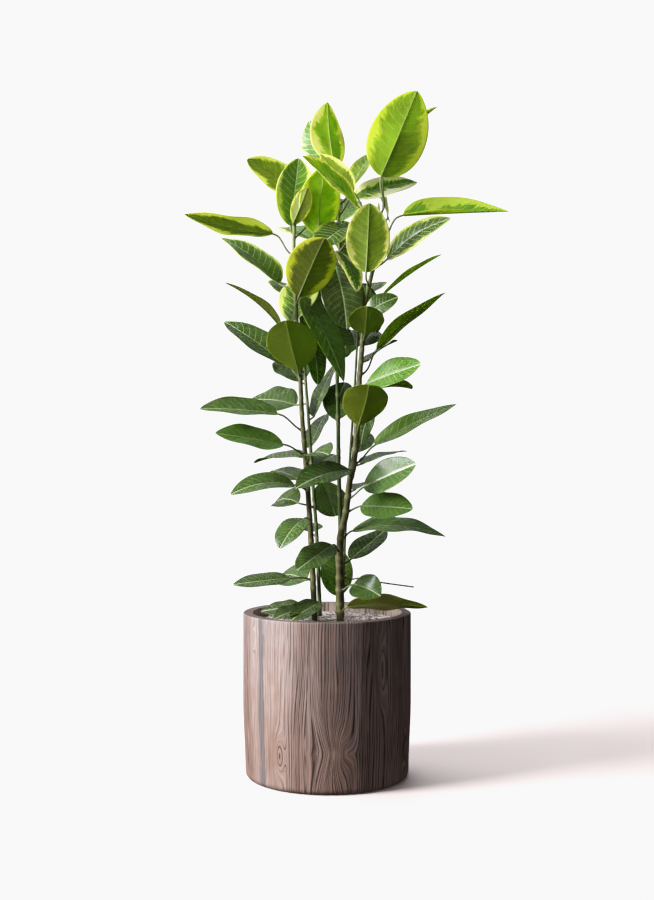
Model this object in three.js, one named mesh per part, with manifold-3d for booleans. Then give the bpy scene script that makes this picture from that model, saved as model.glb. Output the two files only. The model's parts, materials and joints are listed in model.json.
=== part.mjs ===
// A rubber plant in a round planter: five stems grow out of the soil and carry broad leaves.
// Units are millimetres and +Z is up. The origin is the centre of the planter's flat foot.
import * as THREE from 'three';
import Module from 'manifold-3d';
import { mergeVertices } from 'three/addons/utils/BufferGeometryUtils.js';

const wasm = await Module();
wasm.setup();

// ---- driving dimensions -------------------------------------------------------------------
const GAP = 0.3; // clearance kept between neighbouring pieces
const POT_RADIUS = 150; // outside, at the rim
const POT_HEIGHT = 291;
const POT_WALL = 18;
const POT_FOOT_RADIUS = 146;
const FOOT_ROUND = 10; // radius of the rounded bottom edge
const RIM_ROUND = 2.5; // radius of the rounded rim edges
const POT_SIDES = 48;
const SOIL_LEVEL = 280;
const SOIL_DOME = 3; // the soil is this much higher in the middle
const DOME_PART = 0.6; // the part of the radius over which the soil falls by a third of the dome
const ROOT_DEPTH = 60; // how far each stem goes down into the soil
const STEM_SIDES = 8;
const STEM_STEP = 30; // spacing of the rings along a stem
const TWIG_SIDES = 6;
const TWIG_STEPS = 10;
const PETIOLE_RADIUS = 1.6;
const PETIOLE_RINGS = 5;
const PETIOLE_RISE = 0.5; // how steeply a petiole leaves the stem: up, for one along
const PETIOLE_BEND = 0.35; // how much of its reach goes straight on at each end
const BLADE_RINGS = 9;
const BLADE_SIDES = 5; // two edges, two sides of the keel and the midrib
const BLADE_POWER = 0.62; // how blunt the blade's outline is at its base and tip
const MIDRIB_RISE = 0.5; // of the midrib above the blade, on the upper side
const MIDRIB_KEEL = 1.4; // of the midrib below the blade
const MIDRIB_HALF = 1.2; // half width of the keel
const EDGE_MIN = 1.0; // least half width of the blade, at its drip tip

// ---- stems: the points that each one grows through, and its radius at the foot and the top ---
const STEMS = {
  left: { foot: 5.7, top: 2.9, points: [
    [-22, -20, 280], [-29, -18, 430], [-36, -15, 535], [-45, -12, 650],
    [-48, -12, 720], [-54, -10, 812], [-59, -8, 938], [-58, -5, 985],
  ] },
  back_left: { foot: 3.9, top: 2.2, points: [
    [-13, 42, 280], [-19, 40, 430], [-25, 38, 510], [-32, 36, 615], [-40, 34, 720], [-51, 30, 850],
  ] },
  centre: { foot: 4.8, top: 2.4, points: [
    [27, 26, 280], [24, 25, 455], [21, 24, 560], [20, 22, 650], [18, 20, 760],
    [23, 18, 905], [18, 12, 1060],
  ] },
  right: { foot: 7.0, top: 3.2, points: [
    [23, -30, 280], [22, -29, 330], [25, -27, 435], [33, -26, 467], [41, -25, 530],
    [48, -24, 560], [57, -20, 698], [63, -16, 771], [67, -12, 840], [82, -6, 902],
    [90, 0, 956], [92, 3, 1005],
  ] },
  back_right: { foot: 3.0, top: 1.8, points: [
    [28, 58, 280], [33, 56, 420], [42, 54, 562], [51, 52, 700], [56, 50, 790],
    [59, 46, 850], [60, 42, 915],
  ] },
};

// A dry leaf stalk that has lost its blade, low on the right stem.
const TWIG = { radius: 1.4, points: [
  [30, -26, 356], [42, -25, 351], [56, -26, 353], [92, -34, 347], [152, -48, 340],
] };

// ---- leaves -------------------------------------------------------------------------------
// stem and node: the stem that carries the leaf, and the height of the leaf's node on it
// base, tip: where the blade starts and ends
// width: across the widest part
// face: the rough direction that the upper side looks in
// fold: degrees that each half is raised from flat; arch: how far the midrib bows up
const LEAVES = [
  // the crown, on the right stem
  { stem: 'right', node: 1003, base: [97, 0, 1070], tip: [163, 25, 1230], width: 107, face: [0, 1, 0.15] },
  { stem: 'right', node: 998, base: [106, 24, 1098], tip: [208, 122, 1228],
    width: 60, face: [-0.7, 0, 0.6] },
  { stem: 'centre', node: 1022, base: [45, 30, 1057], tip: [105, 70, 1141],
    width: 50, face: [-0.6, -0.6, 0.5] },
  { stem: 'centre', node: 1004, base: [49, 44, 1041], tip: [167, 66, 1073],
    width: 62, face: [-0.15, -0.75, 0.65] },
  { stem: 'right', node: 978, base: [54, -34, 1010], tip: [-43, -94, 1085],
    width: 66, face: [0.45, -0.6, 0.65], arch: 2 },
  { stem: 'right', node: 985, base: [47, -1, 1042], tip: [-12, -8, 1108],
    width: 46, face: [0.3, 0.9, 0.3], arch: 0 },
  { stem: 'right', node: 944, base: [137, 15, 1003], tip: [330, 30, 1013],
    width: 84, face: [0, -0.5, 0.85], fold: 28, arch: 0 },
  { stem: 'right', node: 905, base: [107, -10, 920], tip: [216, -60, 984],
    width: 68, face: [-0.45, -0.65, 0.6], arch: 10 },
  { stem: 'right', node: 872, base: [68, -62, 889], tip: [73, -92, 1004],
    width: 78, face: [0.1, 0.97, 0.2] },
  { stem: 'right', node: 842, base: [97, 0, 856], tip: [211, 60, 940],
    width: 48, face: [-0.6, 0.05, 0.8], arch: 3 },
  { stem: 'right', node: 806, base: [69, -30, 820], tip: [125, -40, 849],
    width: 40, face: [-0.1, -0.9, 0.4] },
  { stem: 'right', node: 772, base: [67, -34, 785], tip: [68, -112, 825],
    width: 64, face: [0, 0.45, 0.9], arch: -2 },
  { stem: 'right', node: 715, base: [89, -10, 760], tip: [208, -50, 856],
    width: 60, face: [-0.62, 0.35, 0.7] },
  { stem: 'right', node: 684, base: [69, -38, 696], tip: [161, -95, 727],
    width: 70, face: [-0.2, -0.75, 0.7], arch: 0 },
  { stem: 'right', node: 606, base: [56, -46, 624], tip: [71, -125, 690],
    width: 80, face: [0, 0.63, 0.77] },
  { stem: 'right', node: 556, base: [86, 0, 589], tip: [237, 40, 664],
    width: 74, face: [-0.45, -0.4, 0.8], arch: 5 },
  { stem: 'right', node: 534, base: [40, -46, 545], tip: [-53, -110, 515],
    width: 66, face: [0.05, -0.5, 0.85] },
  { stem: 'right', node: 496, base: [65, -40, 515], tip: [153, -90, 556],
    width: 68, face: [-0.2, -0.8, 0.6], arch: 1 },
  { stem: 'right', node: 472, base: [60, -32, 481], tip: [148, -80, 478],
    width: 64, face: [0, -0.75, 0.65], arch: 6 },
  { stem: 'right', node: 424, base: [45, -12, 436], tip: [211, -20, 426],
    width: 76, face: [0, -0.3, 0.95], arch: 16 },
  { stem: 'right', node: 376, base: [43, 6, 384], tip: [109, 70, 434],
    width: 57, face: [-0.4, -0.65, 0.65], arch: 2 },
  { stem: 'right', node: 402, base: [10, -52, 414], tip: [-51, -105, 375],
    width: 60, face: [-0.1, -0.6, 0.75], arch: 4 },
  { stem: 'right', node: 333, base: [46, -46, 344], tip: [92, -88, 329],
    width: 56, face: [0.3, -0.9, 0.3], arch: 6 },
  { stem: 'right', node: 296, base: [36, -46, 305], tip: [175, -75, 308],
    width: 68, face: [0, 0.5, 0.85], arch: 5 },
  // on the centre stem
  { stem: 'centre', node: 1054, base: [12, 12, 1095], tip: [1, 70, 1222],
    width: 74, face: [-0.45, 0.85, 0.1], arch: 3 },
  { stem: 'centre', node: 1038, base: [10, 60, 1082], tip: [-34, 110, 1198],
    width: 80, face: [-0.5, -0.8, 0.3] },
  { stem: 'centre', node: 930, base: [-16, 2, 964], tip: [-2, -34, 1082],
    width: 78, face: [-0.3, 0.9, 0.3], arch: 0 },
  { stem: 'centre', node: 915, base: [-27, 25, 960], tip: [-83, 110, 997],
    width: 70, face: [0.1, -0.5, 0.85] },
  { stem: 'centre', node: 940, base: [40, -2, 980], tip: [-16, -50, 932],
    width: 72, face: [-0.3, -0.8, 0.6] },
  { stem: 'centre', node: 905, base: [18, -8, 934], tip: [52, -54, 857],
    width: 54, face: [0.6, -0.5, 0.5] },
  { stem: 'centre', node: 885, base: [14, 4, 911], tip: [35, -22, 794], width: 78, face: [0, -0.92, 0.39] },
  // on the left stem
  { stem: 'left', node: 982, base: [-59, -20, 984], tip: [-34, -42, 1042],
    width: 38, face: [0.3, 0.9, 0.2], fold: 14 },
  { stem: 'left', node: 958, base: [-36, 58, 1036], tip: [-144, 18, 1105],
    width: 80, face: [-0.1, 0.35, 1] },
  { stem: 'left', node: 966, base: [-65, 6, 982], tip: [-51, 20, 1107],
    width: 70, face: [0.2, -0.95, 0.35] },
  { stem: 'left', node: 928, base: [-97, 0, 967], tip: [-251, -40, 995],
    width: 78, face: [0, 0.28, 0.96], arch: -3 },
  { stem: 'left', node: 868, base: [-86, 5, 879], tip: [-195, 60, 970],
    width: 76, face: [0.45, -0.55, 0.7] },
  { stem: 'left', node: 838, base: [-50, -26, 851], tip: [-4, -85, 945], width: 86, face: [0, 0.84, 0.54] },
  { stem: 'left', node: 795, base: [-86, 0, 804], tip: [-178, -60, 872],
    width: 60, face: [0.5, 0.1, 0.85] },
  { stem: 'left', node: 712, base: [-51, -28, 722], tip: [-70, -118, 800],
    width: 90, face: [0, 0.6, 0.8], arch: 3 },
  { stem: 'left', node: 616, base: [-87, -15, 644], tip: [-223, -45, 652],
    width: 78, face: [0, -0.45, 0.9], arch: 3 },
  { stem: 'left', node: 572, base: [-77, -40, 590], tip: [-192, -90, 609],
    width: 68, face: [0.1, -0.6, 0.8], arch: 0 },
  { stem: 'left', node: 558, base: [-32, -32, 569], tip: [3, -110, 572], width: 60, face: [0, -0.7, 0.7] },
  { stem: 'left', node: 510, base: [-57, -30, 518], tip: [-168, -70, 502],
    width: 60, face: [0, -0.5, 0.85], arch: 12 },
  { stem: 'left', node: 456, base: [-40, -46, 460], tip: [-80, -110, 412],
    width: 56, face: [-0.3, -0.6, 0.7], arch: 10 },
  { stem: 'left', node: 350, base: [-65, -32, 354], tip: [-164, -60, 345],
    width: 56, face: [0, -0.35, 0.94], arch: 3 },
  { stem: 'left', node: 298, base: [-45, 2, 299], tip: [-119, 22, 288],
    width: 46, face: [0, -0.45, 0.88], arch: 2 },
  // on the two thin stems behind
  { stem: 'back_left', node: 840, base: [-43, 18, 856], tip: [30, -34, 699],
    width: 70, face: [0.5, -0.6, 0.35] },
  { stem: 'back_left', node: 722, base: [-76, 22, 734], tip: [-191, 80, 818],
    width: 76, face: [0.35, -0.6, 0.7] },
  { stem: 'back_left', node: 556, base: [-44, 50, 567], tip: [-135, 110, 556],
    width: 70, face: [0, -0.25, 0.95] },
  { stem: 'back_left', node: 476, base: [-52, 26, 484], tip: [-98, 90, 481],
    width: 58, face: [0, -0.75, 0.6], arch: 8 },
  { stem: 'back_right', node: 300, base: [20, 85, 309], tip: [15, 112, 396],
    width: 62, face: [0, -0.95, 0.3] },
  { stem: 'back_right', node: 690, base: [78, 60, 688], tip: [160, 115, 695],
    width: 62, face: [0, 0.1, 1] },
];
const DEFAULT_FOLD = 10;
const DEFAULT_ARCH = 7;

// ---- colours and roughness ------------------------------------------------------------------
const LOOK = {
  pot: [0x6f5d53, 0.8],
  soil: [0x8d7d72, 0.95],
  stem: [0x6d6a52, 0.7],
  twig: [0x3a2f26, 0.9],
  leaf: [0x4d6b2a, 0.45],
};

// ---- helpers ------------------------------------------------------------------------------
const vector = ([x, y, z]) => new THREE.Vector3(x, y, z);

/** A closed solid through rings of equally many points, ended by a point at each end. */
function loft(start, rings, end) {
  const sides = rings[0].length;
  const positions = [...start];
  rings.flat().forEach((point) => positions.push(point.x, point.y, point.z));
  positions.push(...end);
  const last = rings.length * sides + 1;
  const at = (ring, side) => 1 + ring * sides + (side % sides);
  const index = [];
  for (let side = 0; side < sides; side += 1) {
    index.push(0, at(0, side + 1), at(0, side));
    for (let ring = 0; ring < rings.length - 1; ring += 1) {
      index.push(at(ring, side), at(ring, side + 1), at(ring + 1, side + 1));
      index.push(at(ring, side), at(ring + 1, side + 1), at(ring + 1, side));
    }
    index.push(last, at(rings.length - 1, side), at(rings.length - 1, side + 1));
  }
  const geometry = new THREE.BufferGeometry();
  geometry.setAttribute('position', new THREE.Float32BufferAttribute(positions, 3));
  geometry.setIndex(index);
  return geometry;
}

/** A round ring of points about a centre, square to a direction. */
function ringAround(centre, along, radius, sides, reference) {
  const across = reference.clone().addScaledVector(along, -reference.dot(along)).normalize();
  const other = along.clone().cross(across);
  return Array.from({ length: sides }, (_, side) => {
    const turn = (2 * Math.PI * side) / sides;
    return centre.clone()
      .addScaledVector(across, radius * Math.cos(turn))
      .addScaledVector(other, radius * Math.sin(turn));
  });
}

/** A tapering round rod along a smooth curve, with a short point at each end. */
function rod(curve, steps, radiusAt, sides) {
  const reference = new THREE.Vector3(0, 1, 0); // no rod here runs along Y
  const rings = [];
  for (let step = 0; step <= steps; step += 1) {
    const part = step / steps;
    rings.push(ringAround(
      curve.getPointAt(part), curve.getTangentAt(part), radiusAt(part), sides, reference,
    ));
  }
  const start = curve.getPointAt(0).addScaledVector(curve.getTangentAt(0), -radiusAt(0) / 2);
  const end = curve.getPointAt(1).addScaledVector(curve.getTangentAt(1), radiusAt(1));
  return loft(start.toArray(), rings, end.toArray());
}

function named(name, geometry, [color, roughness]) {
  const material = new THREE.MeshStandardMaterial({ color, roughness, metalness: 0 });
  const mesh = new THREE.Mesh(geometry, material);
  mesh.name = name;
  return mesh;
}

/** A geometry as a manifold solid. */
function solidOf(geometry) {
  const bare = geometry.clone();
  bare.deleteAttribute('normal');
  bare.deleteAttribute('uv');
  const merged = mergeVertices(bare, 1e-3);
  return new wasm.Manifold(new wasm.Mesh({
    numProp: 3,
    vertProperties: new Float32Array(merged.attributes.position.array),
    triVerts: new Uint32Array(merged.index.array),
  }));
}

/** A manifold solid as a geometry. */
function geometryOf(solid) {
  const mesh = solid.getMesh();
  const geometry = new THREE.BufferGeometry();
  geometry.setAttribute('position', new THREE.Float32BufferAttribute(mesh.vertProperties, 3));
  geometry.setIndex(new THREE.Uint32BufferAttribute(mesh.triVerts, 1));
  return geometry;
}

/** A solid of revolution about +Z from a profile of [radius, height] points. */
function turned(profile, sides) {
  const points = profile.map(([radius, height]) => new THREE.Vector2(radius, height));
  const geometry = new THREE.LatheGeometry(points, sides);
  geometry.rotateX(Math.PI / 2);
  return geometry;
}

/** Points of a rounded corner: a quarter turn from one angle, in degrees, about a centre. */
function corner([x, y], radius, from, steps = 4) {
  return Array.from({ length: steps + 1 }, (_, step) => {
    const turn = THREE.MathUtils.degToRad(from + (90 * step) / steps);
    return [x + radius * Math.cos(turn), y + radius * Math.sin(turn)];
  });
}

// ---- planter and soil -----------------------------------------------------------------------
const INNER_RADIUS = POT_RADIUS - POT_WALL;
const INNER_FOOT = POT_FOOT_RADIUS - POT_WALL;

/** The inside radius of the planter at a height: the wall leans in towards the foot. */
function innerRadius(height) {
  return THREE.MathUtils.lerp(INNER_FOOT, INNER_RADIUS, height / POT_HEIGHT);
}

function makePot() {
  const profile = [
    [0, 0],
    ...corner([POT_FOOT_RADIUS - FOOT_ROUND, FOOT_ROUND], FOOT_ROUND, -90),
    ...corner([POT_RADIUS - RIM_ROUND, POT_HEIGHT - RIM_ROUND], RIM_ROUND, 0),
    ...corner([INNER_RADIUS + RIM_ROUND, POT_HEIGHT - RIM_ROUND], RIM_ROUND, 90),
    [innerRadius(POT_WALL), POT_WALL],
    [0, POT_WALL],
  ];
  return named('pot', turned(profile, POT_SIDES), LOOK.pot);
}

/** The soil fills the planter up to its level, with a socket for the foot of each stem. */
function makeSoil() {
  const floor = POT_WALL + GAP;
  // The planter's flats lie inside its round, so the soil keeps a little more than the gap.
  const clearance = GAP + INNER_RADIUS * (1 - Math.cos(Math.PI / POT_SIDES));
  const profile = [
    [0, floor],
    [innerRadius(floor) - clearance, floor],
    [innerRadius(SOIL_LEVEL) - clearance, SOIL_LEVEL - SOIL_DOME],
    [INNER_RADIUS * DOME_PART, SOIL_LEVEL - SOIL_DOME / 3],
    [0, SOIL_LEVEL],
  ];
  let soil = solidOf(turned(profile, POT_SIDES));
  Object.values(STEMS).forEach(({ foot, points }) => {
    const socket = new THREE.CylinderGeometry(
      foot + 2 * GAP, foot + 2 * GAP, 2 * (ROOT_DEPTH + foot), STEM_SIDES * 2,
    );
    socket.rotateX(Math.PI / 2);
    socket.translate(points[0][0], points[0][1], SOIL_LEVEL);
    soil = soil.subtract(solidOf(socket));
  });
  return named('soil', geometryOf(soil), LOOK.soil);
}

// ---- stems --------------------------------------------------------------------------------
/** The curve that a stem follows: straight down in the soil, then through its points. */
function stemCurve({ points }) {
  const [x, y, z] = points[0];
  const buried = new THREE.Vector3(x, y, z - ROOT_DEPTH);
  const collar = new THREE.Vector3(x, y, z - ROOT_DEPTH / 4);
  return new THREE.CatmullRomCurve3([buried, collar, ...points.map(vector)], false, 'centripetal');
}

const CURVES = Object.fromEntries(
  Object.entries(STEMS).map(([name, stem]) => [name, stemCurve(stem)]),
);

function stemRadius({ foot, top }, part) {
  return THREE.MathUtils.lerp(foot, top, part);
}

function makeStem(name) {
  const curve = CURVES[name];
  const steps = Math.round(curve.getLength() / STEM_STEP);
  const shape = rod(curve, steps, (part) => stemRadius(STEMS[name], part), STEM_SIDES);
  return named(`stem_${name}`, shape, LOOK.stem);
}

const HALVINGS = 24;

/** The centre and radius of a stem at a height, found by halving: every stem only rises. */
function stemAt(name, height) {
  let low = 0;
  let high = 1;
  for (let halving = 0; halving < HALVINGS; halving += 1) {
    const middle = (low + high) / 2;
    if (CURVES[name].getPointAt(middle).z < height) low = middle;
    else high = middle;
  }
  return { centre: CURVES[name].getPointAt(low), radius: stemRadius(STEMS[name], low) };
}

// ---- leaves -------------------------------------------------------------------------------
/** Half the blade's width, as a part of its greatest, which is in the middle of its length. */
function outline(part) {
  return (4 * part * (1 - part)) ** BLADE_POWER;
}

/** The petiole's centre line: out of the stem's side, then round into the blade's direction. */
function petioleCurve(leaf, base, heading) {
  const { centre, radius } = stemAt(leaf.stem, leaf.node);
  const out = base.clone().sub(centre).setZ(0).normalize();
  const start = centre.clone().addScaledVector(out, radius + GAP);
  const reach = start.distanceTo(base);
  const leave = out.clone().setZ(PETIOLE_RISE).normalize();
  return new THREE.CubicBezierCurve3(
    start,
    start.clone().addScaledVector(leave, reach * PETIOLE_BEND),
    base.clone().addScaledVector(heading, -reach * PETIOLE_BEND),
    base,
  );
}

function makeLeaf(leaf, name) {
  const base = vector(leaf.base);
  const tip = vector(leaf.tip);
  const face = vector(leaf.face);
  const fold = THREE.MathUtils.degToRad(leaf.fold ?? DEFAULT_FOLD);
  const straight = tip.clone().sub(base).normalize();
  const lift = face.clone().addScaledVector(straight, -face.dot(straight)).normalize();
  const crest = base.clone().lerp(tip, 0.5).addScaledVector(lift, 2 * (leaf.arch ?? DEFAULT_ARCH));
  const midrib = new THREE.QuadraticBezierCurve3(base, crest, tip);
  const petiole = petioleCurve(leaf, base, midrib.getTangent(0));
  const rings = [];
  for (let ring = 0; ring < PETIOLE_RINGS; ring += 1) {
    const part = ring / PETIOLE_RINGS;
    const shift = ring === 0 ? PETIOLE_RADIUS : 0;
    const along = petiole.getTangent(part);
    const centre = petiole.getPoint(part).addScaledVector(along, shift);
    const across = along.clone().cross(lift).normalize();
    rings.push(ringAround(centre, along, PETIOLE_RADIUS, BLADE_SIDES, across));
  }
  for (let ring = 1; ring <= BLADE_RINGS; ring += 1) {
    const part = (ring - 0.5) / BLADE_RINGS;
    const along = midrib.getTangent(part);
    const up = lift.clone().addScaledVector(along, -lift.dot(along)).normalize();
    const across = along.clone().cross(up);
    const half = Math.max(EDGE_MIN + MIDRIB_HALF, (outline(part) * leaf.width) / 2);
    const centre = midrib.getPoint(part);
    const place = (sideways, upwards) => centre.clone()
      .addScaledVector(across, sideways).addScaledVector(up, upwards);
    const reach = half * Math.cos(fold);
    const raised = half * Math.sin(fold);
    const slim = Math.min(1, half / (4 * MIDRIB_HALF));
    rings.push([
      place(reach, raised),
      place(MIDRIB_HALF * slim, -MIDRIB_KEEL * slim),
      place(-MIDRIB_HALF * slim, -MIDRIB_KEEL * slim),
      place(-reach, raised),
      place(0, MIDRIB_RISE),
    ]);
  }
  const start = petiole.getPoint(0);
  return named(name, loft(start.toArray(), rings, tip.toArray()), LOOK.leaf);
}

// ---- assembly -----------------------------------------------------------------------------
const plant = new THREE.Group();
plant.add(makePot(), makeSoil());
Object.keys(STEMS).forEach((name) => plant.add(makeStem(name)));
const twigCurve = new THREE.CatmullRomCurve3(TWIG.points.map(vector), false, 'centripetal');
const twigShape = rod(twigCurve, TWIG_STEPS, () => TWIG.radius, TWIG_SIDES);
plant.add(named('dry_stalk', twigShape, LOOK.twig));
LEAVES.forEach((leaf, count) => {
  plant.add(makeLeaf(leaf, `leaf_${String(count + 1).padStart(2, '0')}_${leaf.stem}`));
});

export default plant;
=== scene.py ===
"""A potted rubber plant: fine leaves, stems, soil and a wood-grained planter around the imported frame.

Units are metres and +Z is up. The camera looks along +Y, at the plant's front.
"""
import json
import math
import random
from collections import namedtuple

import bmesh
import bpy
import numpy as np
from mathutils import Matrix, Vector, noise


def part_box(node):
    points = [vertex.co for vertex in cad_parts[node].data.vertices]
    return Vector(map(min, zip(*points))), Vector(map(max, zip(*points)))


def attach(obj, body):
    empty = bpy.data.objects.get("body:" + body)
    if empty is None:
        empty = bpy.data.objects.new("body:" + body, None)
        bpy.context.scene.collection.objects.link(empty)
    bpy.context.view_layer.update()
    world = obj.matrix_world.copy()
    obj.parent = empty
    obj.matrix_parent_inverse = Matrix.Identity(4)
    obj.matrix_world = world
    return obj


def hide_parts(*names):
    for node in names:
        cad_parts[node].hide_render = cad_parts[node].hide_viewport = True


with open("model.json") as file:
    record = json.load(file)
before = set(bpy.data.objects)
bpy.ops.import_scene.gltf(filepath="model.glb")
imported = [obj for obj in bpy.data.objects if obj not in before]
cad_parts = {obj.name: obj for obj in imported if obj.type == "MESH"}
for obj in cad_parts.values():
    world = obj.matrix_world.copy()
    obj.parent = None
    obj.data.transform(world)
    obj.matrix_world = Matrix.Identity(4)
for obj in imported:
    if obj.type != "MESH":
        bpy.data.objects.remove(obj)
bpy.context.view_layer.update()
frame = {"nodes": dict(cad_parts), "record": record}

MM = 0.001
POT_RADIUS, _, POT_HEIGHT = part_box("pot")[1]
SOIL_RADIUS, _, SOIL_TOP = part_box("soil")[1]


# ---- small helpers ----
def mix(a, b, part):
    """a at part 0 and b at part 1."""
    return a + (b - a) * part


def smooth(low, high, value):
    """0 below low, 1 above high, and a smooth step between."""
    part = min(1.0, max(0.0, (value - low) / (high - low)))
    return part * part * (3 - 2 * part)


def colour(code):
    """A linear colour from a #rrggbb code."""
    parts = [int(code[at:at + 2], 16) / 255 for at in (1, 3, 5)]
    return [p / 12.92 if p <= 0.04045 else ((p + 0.055) / 1.055) ** 2.4 for p in parts] + [1.0]


def new_piece(name, points, faces, materials, face_slots=None):
    """A smooth mesh object with materials, each face in its slot."""
    mesh = bpy.data.meshes.new(name)
    mesh.from_pydata([tuple(p) for p in points], [], faces)
    for material in materials:
        mesh.materials.append(material)
    if face_slots is not None:
        mesh.polygons.foreach_set("material_index", face_slots)
    mesh.polygons.foreach_set("use_smooth", [True] * len(mesh.polygons))
    mesh.validate()
    piece = bpy.data.objects.new(name, mesh)
    bpy.context.scene.collection.objects.link(piece)
    return piece


def store(piece, name, values):
    """Keeps a float or a vector for each point, for the materials to read."""
    values = np.array(values, dtype=np.float32)
    if values.ndim == 1:
        layer = piece.data.attributes.new(name, "FLOAT", "POINT")
        layer.data.foreach_set("value", values)
    else:
        layer = piece.data.attributes.new(name, "FLOAT_VECTOR", "POINT")
        layer.data.foreach_set("vector", values.ravel())


def ride(piece, slot, *nodes):
    """The piece moves with the plant and stands for the nodes, which it hides; slot is not used."""
    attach(piece, "root")
    if nodes:
        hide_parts(*nodes)


# ---- reading the frame's rods and leaves ----
def layers_of(node):
    """A lofted node's points in layers: a point at one end, ring after ring, a point at the other."""
    mesh = frame["nodes"][node].data
    places = {}
    points = []
    at = []
    for vertex in mesh.vertices:
        key = tuple(round(c, 6) for c in vertex.co)
        if key not in places:
            places[key] = len(points)
            points.append(vertex.co.copy())
        at.append(places[key])
    near = [set() for _ in points]
    for edge in mesh.edges:
        a, b = (at[v] for v in edge.vertices)
        if a != b:
            near[a].add(b)
            near[b].add(a)
    for start in range(len(points)):
        found = walk(start, near)
        sizes = {len(layer) for layer in found[1:-1]}
        if len(found[-1]) == 1 and len(sizes) == 1 and sizes != {1}:
            return [[points[i] for i in layer] for layer in found], near, found
    raise ValueError(f"{node} isn't a loft")


def walk(start, near):
    """Layers of points by how many edges they are away from start."""
    layers = [[start]]
    seen = {start}
    while True:
        following = sorted({n for i in layers[-1] for n in near[i]} - seen)
        if not following:
            return layers
        seen.update(following)
        layers.append(following)


def centre_of(points):
    """The mean of the points."""
    return sum(points, Vector()) / len(points)


def read_rod(node):
    """A rod's centre line from its lower end up, and its radius at each point."""
    layers = layers_of(node)[0][1:-1]
    centres = [centre_of(layer) for layer in layers]
    radii = [(layer[0] - centre).length for layer, centre in zip(layers, centres)]
    if centres[0].z > centres[-1].z:
        centres.reverse()
        radii.reverse()
    return centres, radii


STALK_RINGS = 5
MIDRIB_RISE = 0.5 * MM  # of the solid leaf's midrib above its blade


def read_leaf(node):
    """A solid leaf's measures: its stalk's line, and its blade's line, lift, width and fold."""
    layers, near, found = layers_of(node)
    if spread(layers[STALK_RINGS]) > spread(layers[-1 - STALK_RINGS]):
        layers.reverse()
        found.reverse()
    tip = layers[-1][0]
    first = 1 + STALK_RINGS
    count = len(layers) - 1 - first
    middle = first + count // 2
    centre_first, _, _ = read_section(layers[first], found[first], near)
    centre, up, edges = read_section(layers[middle], found[middle], near)
    part = 0.5 / count
    side = part * (1 - part)
    base = (centre_first - 4 * side * centre + (side - part * part) * tip) / ((1 - part) ** 2 - side)
    raised = (centre_of(edges) - centre).dot(up)
    reach = (edges[1] - edges[0]).length / 2
    return {
        "stalk": [layers[0][0]] + [centre_of(layer) for layer in layers[1:first]] + [base],
        "base": base,
        "crest": 2 * centre - (base + tip) / 2,
        "tip": tip,
        "up": up,
        "width": 2 * math.hypot(reach, raised),
        "fold": math.atan2(raised, reach),
    }


def spread(points):
    """The greatest distance between two of the points."""
    return max((a - b).length for a in points for b in points)


def read_section(points, indices, near):
    """A blade ring's midrib point, the way up from it, and its two edges."""
    pairs = [(a, b) for a in range(len(points)) for b in range(a)]
    a, b = max(pairs, key=lambda pair: (points[pair[0]] - points[pair[1]]).length)
    others = [i for i in range(len(points)) if i not in (a, b)]
    top = next(i for i in others if {indices[a], indices[b]} <= near[indices[i]])
    keel = centre_of([points[i] for i in others if i != top])
    up = (points[top] - keel).normalized()
    return points[top] - up * MIDRIB_RISE, up, (points[a], points[b])


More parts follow.
